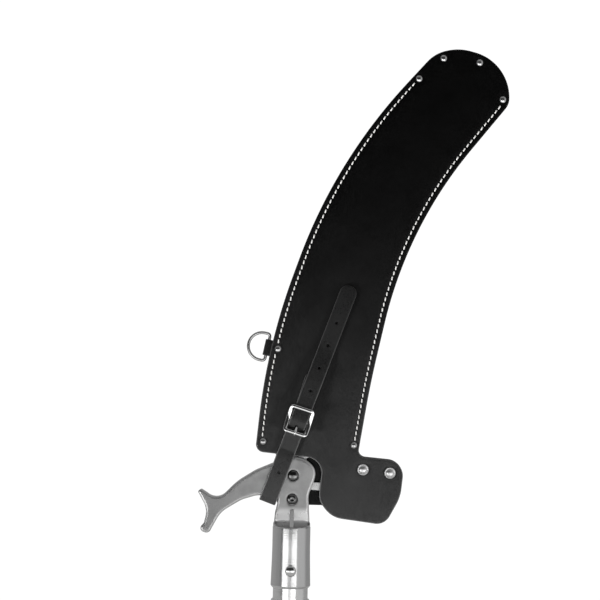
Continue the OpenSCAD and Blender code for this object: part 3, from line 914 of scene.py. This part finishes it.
def sweep(shape, line, section, across, closed=False):
    """Carries a section along a line. section(i) gives points out of the side and the across direction."""
    rings, last = [], len(line) - 1
    for i, p in enumerate(line):
        before = line[(i - 1) % len(line)] if closed else line[max(i - 1, 0)]
        after = line[(i + 1) % len(line)] if closed else line[min(i + 1, last)]
        t = (after - before).normalized()
        side = t.cross(across).normalized()
        up = side.cross(t).normalized()
        rings.append([p + side * a + up * b for a, b in section(i)])
    shape.loft(rings, closed)


def oval(a, b, steps=16):
    return [
        (a * math.cos(2 * math.pi * k / steps), b * math.sin(2 * math.pi * k / steps)) for k in range(steps)
    ]


Y_AXIS = Vector((0, 1, 0))
ring = Shape()
DEE_HALF = 13.5
DEE_WIRE_R = 1.5
flat_ring = Outline([
    (0, -DEE_HALF, 3), (-19, -DEE_HALF, DEE_HALF), (-19, DEE_HALF, DEE_HALF), (0, DEE_HALF, 3),
], step=6, side=1.5).ring()
dee_line = [Vector(on_ring(p.x, 0, p.y)) for p in flat_ring]
sweep(ring, dee_line, lambda i: oval(DEE_WIRE_R, DEE_WIRE_R, 20), Y_AXIS, True)
add("dee_ring_wire", "dee_ring", ring, 50)


def on_buckle(x, y, z):
    """A point in the buckle's frame: x across, z along, from the centre bar."""
    c = Vector(on_strap(0, 0, BUCKLE_T))
    a = math.radians(BUCKLE_DIR)
    return Vector((c.x + x * math.sin(a) + z * math.cos(a), y, c.z - x * math.cos(a) + z * math.sin(a)))


buckle = Shape()
frame_line = Outline([
    (-BUCKLE_SIDE, -BUCKLE_HALF, 2.4), (-BUCKLE_SIDE, BUCKLE_HALF, 2.4),
    (BUCKLE_SIDE, BUCKLE_HALF, 2.4), (BUCKLE_SIDE, -BUCKLE_HALF, 2.4),
], step=10, side=1.2).ring()
SIDE_FROM = 8.4
SIDE_DIP = 2.5


def square(v):
    """Pushes a sine or cosine outwards, which turns an oval into a bar with rounded corners."""
    return math.copysign(abs(v) ** 0.6, v)


def side_share(p):
    """0 on the end bars and 1 at the middle of a side."""
    return max(0.0, 1 - (p.y / BUCKLE_HALF) ** 2) if abs(p.x) > SIDE_FROM else 0


def frame_section(i):
    share = side_share(frame_line[i])
    return [
        ((1.7 + 0.4 * share) * square(math.cos(a)), (1.3 + 0.45 * share) * square(math.sin(a)))
        for a in (2 * math.pi * k / 24 for k in range(24))
    ]


sweep(
    buckle,
    [on_buckle(p.x, END_Y + SIDE_DIP * side_share(p), p.y) for p in frame_line],
    frame_section, Y_AXIS, True,
)
bar_line = [on_buckle(x, BAR_Y, 0) for x in (-11.2, -8, -4, 0, 4, 8, 11.2)]
sweep(buckle, bar_line, lambda i: oval(BAR_R, BAR_R, 20), Y_AXIS)
add("buckle_frame_cast", "buckle_frame", buckle, 50)

# Prong: flat wire round the centre bar, then down to the lower end bar. y, z
rest_y = END_Y - 1.35 - 0.85
prong_line = arc(1.95, -60, 180, 16, (BAR_Y, 0))
prong_line += [(BAR_Y - 2.05, -1.6), (BAR_Y - 2.15, -4.2), (BAR_Y - 2.9, -6.8), (rest_y + 1.6, -9.2),
               (rest_y + 0.25, -11), (rest_y - 0.05, -12.4), (rest_y + 0.15, -13.6), (rest_y + 0.7, -14.6)]
prong_line = [on_buckle(0, y, z) for y, z in prong_line]
tail = len(prong_line)


def prong_section(i):
    left = tail - 1 - i
    wide = (0.55, 0.95, 1.15, 1.2, 1.2)[min(left, 4)]
    thick = (0.35, 0.62, 0.75, 0.8, 0.78)[min(left, 4)] if left < 6 else 0.5
    return oval(thick, wide, 16)


a = math.radians(BUCKLE_DIR)
prong = Shape()
sweep(prong, prong_line, prong_section, Vector((math.sin(a), 0, -math.cos(a))))
add("buckle_prong_wire", "buckle_prong", prong, 50)


# ---------------------------------------------------------------- cast head


def cast_relief(p):
    """Gentle unevenness of a cast face."""
    return 0.10 * waves(p.x, p.y, 12, 1.7) + 0.01 * waves(p.x, p.y, 3, 5.2)


plate = Shape()
PLATE_EDGE = [(2.3, 0), (1.95, 0.06), (0.5, 0.66), (0.15, 0.95), (0, 1.5)]
SEAT = 1.4
BOLT_HOLE = [
    (0.25, 0), (0.07, 0.08), (0, 0.3), (0, SEAT), (-2.75, SEAT), (-2.75, PLATE_T), (0.25, PLATE_T),
]
sheet(
    plate, Outline(HEAD, chord=1.5, side=2), PLATE_T, lambda p, depth: (p.x, depth - PLATE_T / 2, p.y),
    [circle(b, 5.8, 40) for b in BOLTS], spacing=1.6, relief=cast_relief,
    profile=PLATE_EDGE + [(d, PLATE_T - h) for d, h in reversed(PLATE_EDGE)],
    hole_profile=BOLT_HOLE, carry=True,
)
add("saw_head_plate", "saw_head", plate, 40)

# Outer radius of the tube by height
TUBE = [
    (SOCKET_Z, 18.1), (SOCKET_Z + 0.5, 18.5), (SOCKET_Z + 1.6, 19.45), (SOCKET_Z + 2.1, 19.6),
    (SOCKET_Z + 2.6, 19.58), (SOCKET_Z + 7, 19.45), (SOCKET_Z + 28, 18.85), (SOCKET_Z + 40, 18.65),
    (SHOULDER_Z - 1.1, 18.65), (SHOULDER_Z - 0.6, 18.62), (SHOULDER_Z - 0.2, 18.4), (SHOULDER_Z, 18.1),
]
NECK_HALF = 2.3
SCOOP_H = 7


def between(table, x):
    for (a, u), (b, v) in zip(table, table[1:]):
        if x <= b:
            return u + (v - u) * (x - a) / (b - a)
    return table[-1][1]


def shoulder_depth(z):
    """Half the depth of the milled shoulder at a height, down to the neck."""
    rise = (z - SHOULDER_Z) / SCOOP_H
    if rise < 1:
        return SOCKET_R - (SOCKET_R - NECK_HALF) * math.sin(math.acos(1 - rise))
    return NECK_HALF


def shoulder_half(z):
    """Half its width."""
    return between([(SHOULDER_Z, 19), (133.5, 18), (135.5, 16.7), (137, 14.8), (152, 12)], z)


def soft_min(values, soft):
    low = min(values)
    return low - soft * math.log(sum(math.exp(-(v - low) / soft) for v in values)) * 0.8


def head_ring(z, steps=240):
    """The section of the socket at a height: tube, milled shoulder and the rib on it."""
    ring = []
    for k in range(steps):
        a = 2 * math.pi * k / steps
        c, s = abs(math.cos(a)) + 1e-6, abs(math.sin(a)) + 1e-6
        if z <= SHOULDER_Z:
            r = between(TUBE, z)
        else:
            r = min(18.3, ((s / shoulder_depth(z)) ** 6 + (c / shoulder_half(z)) ** 6) ** (-1 / 6))
            rib = soft_min([2.0 / c, max(16.5 - 14.5 * (z - 127) / 20, 1.0) / s, 18.0], 0.25)
            r = max(r, rib)
        ring.append((r * math.cos(a), r * math.sin(a), z))
    return ring


socket = Shape()
heights = [z for z, _ in TUBE]
heights += [SHOULDER_Z + SCOOP_H * (1 - math.cos(math.radians(5 * i))) for i in range(1, 19)]
heights += [139 + 1.8 * i for i in range(0, 8)]
heights = sorted(set(round(h, 3) for h in heights))
bore_r = NECK_R + 0.25
bore = [
    [(x, y, z) for x, y in oval(r, r, 240)]
    for r, z in ((bore_r, SOCKET_Z + 49), (bore_r, SOCKET_Z + 0.6), (NECK_R + 0.6, SOCKET_Z))
]
socket.loft(bore + [head_ring(z) for z in heights])
socket_piece = add("saw_head_socket", "saw_head", socket, 40)


def drill(piece, profile, at, axis="Y"):
    """Cuts a turned hole, as a radius and height profile, out of a piece."""
    tool = Shape()
    tool.turn(profile, at, axis, 48)
    mesh = bpy.data.meshes.new("drill")
    mesh.from_pydata([Vector(v) * MM for v in tool.verts], [], tool.faces)
    work = bmesh.new()
    work.from_mesh(mesh)
    weld(work)
    work.to_mesh(mesh)
    work.free()
    cutter = bpy.data.objects.new("drill", mesh)
    bpy.context.collection.objects.link(cutter)
    cut = piece.modifiers.new("cut", "BOOLEAN")
    cut.operation, cut.solver, cut.object = "DIFFERENCE", "EXACT", cutter
    bpy.context.view_layer.update()
    done = bpy.data.meshes.new_from_object(piece.evaluated_get(bpy.context.evaluated_depsgraph_get()))
    piece.modifiers.clear()
    piece.data = done
    done.shade_smooth()
    done.set_sharp_from_angle(angle=math.radians(32))
    bpy.data.objects.remove(cutter)


drill(socket_piece, [(0, -26), (BUTTON_R + 3, -26), (BUTTON_R + 0.4, -18.4), (BUTTON_R + 0.4, -8), (0, -8)],
      (0, 0, BUTTON_Z))


def hex_share(a):
    """A hexagon's half width across its flats, over its reach in direction a."""
    return math.cos((a + math.pi / 6) % (math.pi / 3) - math.pi / 6)


def bolt(name, node, at, recess):
    """Round-headed bolt, plain or with a hexagon recess, its shank through plate and blade."""
    seat = SEAT - PLATE_T / 2
    steps = 48

    def ring(r, y, hexagon=False):
        out = []
        for k in range(steps):
            a = 2 * math.pi * k / steps
            rr = r / hex_share(a) if hexagon else r
            out.append((at[0] + rr * math.cos(a), y, at[1] + rr * math.sin(a)))
        return out

    face = seat - 2.0
    rings = [
        ring(0, seat - 0.5), ring(1.85, seat - 0.9, True), ring(1.9, face + 0.35, True),
        ring(2.35, face + 0.02), ring(2.9, face),
    ] if recess else [ring(r, face + 0.028 * r * r) for r in (0, 0.7, 1.4, 2.1, 2.9)]
    rings += [
        ring(3.7, face + 0.42), ring(4.5, face + 0.74), ring(5.1, face + 1.15),
        ring(5.45, face + 1.7), ring(5.45, seat), ring(3, seat), ring(3, PLATE_T / 2 + BLADE_T + 2.6),
        ring(2.5, PLATE_T / 2 + BLADE_T + 3), ring(0, PLATE_T / 2 + BLADE_T + 3),
    ]
    shape = Shape()
    shape.loft(rings)
    add(name, node, shape, 32)


def nut(name, node, at):
    """Hexagon nut with chamfered corners."""
    base, steps = PLATE_T / 2 + BLADE_T, 48

    def ring(r, y, cap=99.0):
        out = []
        for k in range(steps):
            a = 2 * math.pi * k / steps
            rr = min(r / hex_share(a), cap) if cap < 90 or r > 4 else r
            out.append((at[0] + rr * math.cos(a), y, at[1] + rr * math.sin(a)))
        return out

    shape = Shape()
    shape.loft([
        ring(3.02, base), ring(4.98, base, 5.5), ring(4.98, base + 0.35), ring(4.98, base + 1.85),
        ring(4.98, base + 2.2, 5.05), ring(3.5, base + 2.2), ring(3.02, base + 1.8),
    ], closed=True)
    add(name, node, shape, 32)


for which, at in zip(("upper", "lower"), BOLTS):
    bolt("blade_bolt_" + which, "bolt_" + which, at, which == "lower")
    nut("blade_nut_" + which, "nut_" + which, at)

button = Shape()
face = -SOCKET_R - 1.4
dome = [
    (BUTTON_R * math.sin(math.radians(6 + 12 * i)), face - 0.6 - 1.4 * math.cos(math.radians(6 + 12 * i)))
    for i in range(8)
]
button.turn(
    [(0, face - 2)] + dome + [
        (BUTTON_R, face + 0.4), (BUTTON_R, -13.3), (BUTTON_R + 1.5, -13.3), (BUTTON_R + 1.5, -11.9),
        (BUTTON_R - 1.5, -11.9), (BUTTON_R - 1.5, face + 2.2), (0, face + 2),
    ],
    (0, 0, BUTTON_Z),
)
add("snap_button_cap", "snap_button", button, 40)

coil = Shape()
turns, steps, coil_r, wire = 8, 20, 2.6, 0.5
coil_line = []
for i in range(turns * steps + 1):
    a = 2 * math.pi * i / steps
    y = -17.7 + 31.6 * i / (turns * steps)
    coil_line.append(Vector((coil_r * math.cos(a), y, BUTTON_Z + coil_r * math.sin(a))))
sweep(coil, coil_line, lambda i: oval(wire, wire, 10), Y_AXIS)
spring = add("button_spring_coil", "button_spring", coil, 50)
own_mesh(spring)

ferrule = Shape()
ferrule.turn([
    (16.6, 0), (18.3, 0), (19.0, 0.7), (19.05, 1.2), (19.05, COLLAR_H - 1.4), (19.0, COLLAR_H - 0.9),
    (18.2, COLLAR_H), (NECK_R, COLLAR_H), (NECK_R, 110.8), (NECK_R - 0.05, 111.2), (NECK_R - 0.8, 112),
    (15, 112), (15, 55), (16, 55), (16, 0.6),
], (0, 0, 0), "Z", 120)
ferrule_piece = add("pole_ferrule_tube", "pole_ferrule", ferrule, 40)
drill(ferrule_piece, [(0, -30), (BUTTON_R + 0.1, -30), (BUTTON_R + 0.1, -5), (0, -5)], (0, 0, BUTTON_Z))
drill(ferrule_piece, [(0, -30), (2.5, -30), (2.5, 30), (0, 30)], (0, 0, 28), "X")


# ---------------------------------------------------------------- camera and light

DISTANCE = 2200
VIEW_W = 591
SENSOR_W = 36
look = Vector((0.0036, 0, 0.3528))
camera = bpy.data.objects.new("camera", bpy.data.cameras.new("camera"))
bpy.context.collection.objects.link(camera)
camera.location = look + Vector((0, -DISTANCE * MM, 0))
camera.rotation_euler = (math.radians(90), math.radians(-1.2), 0)
camera.data.sensor_width = SENSOR_W
camera.data.lens = SENSOR_W * DISTANCE / VIEW_W
camera.data.clip_end = 50
bpy.context.scene.camera = camera


BOX_LOW, BOX_HIGH, BOX_Y = -3.0, -0.05, -2.35


def softbox(name, left, right, radiance):
    """An upright soft light below the camera's height, facing the object."""
    data = bpy.data.lights.new(name, "AREA")
    data.shape = "RECTANGLE"
    data.size, data.size_y = right - left, BOX_HIGH - BOX_LOW
    data.energy = radiance * math.pi * data.size * data.size_y
    lamp = bpy.data.objects.new(name, data)
    bpy.context.collection.objects.link(lamp)
    lamp.location = ((left + right) / 2, BOX_Y, (BOX_LOW + BOX_HIGH) / 2)
    lamp.rotation_euler = (math.radians(90), 0, 0)


softbox("softbox_left", -2.9, -0.7, 2.9)
softbox("softbox_gap", -0.7, 0.2, 1.3)
softbox("softbox_right", 0.2, 1.6, 2.8)

# The two base lamps light these pieces only, which no real lamp does
leather_group = bpy.data.collections.new("leather_pieces")
for piece in bpy.context.scene.objects:
    if piece.type == "MESH" and any(m and "leather" in m.name for m in piece.data.materials):
        leather_group.objects.link(piece)


def side_lamp(name, place, aim, size, energy, spread=180, only=None):
    """A lamp that is left out of reflections, for all pieces or for one group of them."""
    data = bpy.data.lights.new(name, "AREA")
    data.size = size
    data.energy = energy
    data.spread = math.radians(spread)
    lamp = bpy.data.objects.new(name, data)
    bpy.context.collection.objects.link(lamp)
    lamp.location = place
    lamp.rotation_euler = (Vector(aim) - Vector(place)).to_track_quat("-Z", "Y").to_euler()
    lamp.visible_glossy = False
    if only:
        lamp.light_linking.receiver_collection = only


side_lamp("edge_lamp", (-2.0, -0.55, 0.3), (0, 0, 0.33), 0.8, 60)
side_lamp("base_lamp_left", (-0.45, -0.2, 0.03), (0, 0, 0.05), 0.1, 21, 75, leather_group)
side_lamp("base_lamp_right", (0.45, -0.2, 0.03), (0.05, 0, 0.05), 0.1, 15, 75, leather_group)

world = bpy.data.worlds.new("studio")
bpy.context.scene.world = world
world.use_nodes = True
tree = world.node_tree
tree.nodes.clear()
coord = tree.nodes.new("ShaderNodeTexCoord")
split = tree.nodes.new("ShaderNodeSeparateXYZ")
tree.links.new(coord.outputs["Generated"], split.inputs[0])


def ramp(value, low, high, to_low, to_high):
    node = tree.nodes.new("ShaderNodeMapRange")
    node.interpolation_type = "SMOOTHSTEP"
    for socket, v in zip(list(node.inputs)[:5], (value, low, high, to_low, to_high)):
        if isinstance(v, bpy.types.NodeSocket):
            tree.links.new(v, socket)
        else:
            socket.default_value = v
    return node.outputs[0]


# Dark behind the camera, grey walls at the sides, a grey ceiling and a bright bench below.
# The camera itself sees a plain white surround
left_wall = ramp(split.outputs["X"], -0.98, -0.72, 0.36, 0.03)
right_wall = ramp(split.outputs["X"], 0.42, 0.62, left_wall, 0.62)
walls = ramp(split.outputs["Y"], -0.1, 0.3, right_wall, ramp(split.outputs["X"], -0.5, 0.5, 0.42, 0.36))
ceiling = ramp(split.outputs["Y"], -0.4, 0.1, 0.40, 0.6)
room = ramp(split.outputs["Z"], 0.35, 0.75, walls, ceiling)
room = ramp(split.outputs["Z"], -0.75, -0.4, 1.4, room)
back = tree.nodes.new("ShaderNodeBackground")
tree.links.new(room, back.inputs["Color"])
white = tree.nodes.new("ShaderNodeBackground")
white.inputs["Color"].default_value = (1.05, 1.05, 1.05, 1)
path = tree.nodes.new("ShaderNodeLightPath")
blend = tree.nodes.new("ShaderNodeMixShader")
tree.links.new(path.outputs["Is Camera Ray"], blend.inputs[0])
tree.links.new(back.outputs[0], blend.inputs[1])
tree.links.new(white.outputs[0], blend.inputs[2])
world_out = tree.nodes.new("ShaderNodeOutputWorld")
tree.links.new(blend.outputs[0], world_out.inputs[0])

floor = Shape()
FLOOR_R = 380
floor.turn([
    (0, -6), (FLOOR_R - 2, -6), (FLOOR_R, -4), (FLOOR_R, -2), (FLOOR_R - 1, -0.4), (0, -0.4),
], (0, 0, 0), "Z", 96)
mesh = bpy.data.meshes.new("floor")
mesh.from_pydata([Vector(v) * MM for v in floor.verts], [], floor.faces)
mesh.materials.append(pale_floor())
floor_disc = bpy.data.objects.new("floor", mesh)
bpy.context.collection.objects.link(floor_disc)

bpy.context.scene.view_settings.view_transform = "Standard"
bpy.context.scene.view_settings.look = "None"
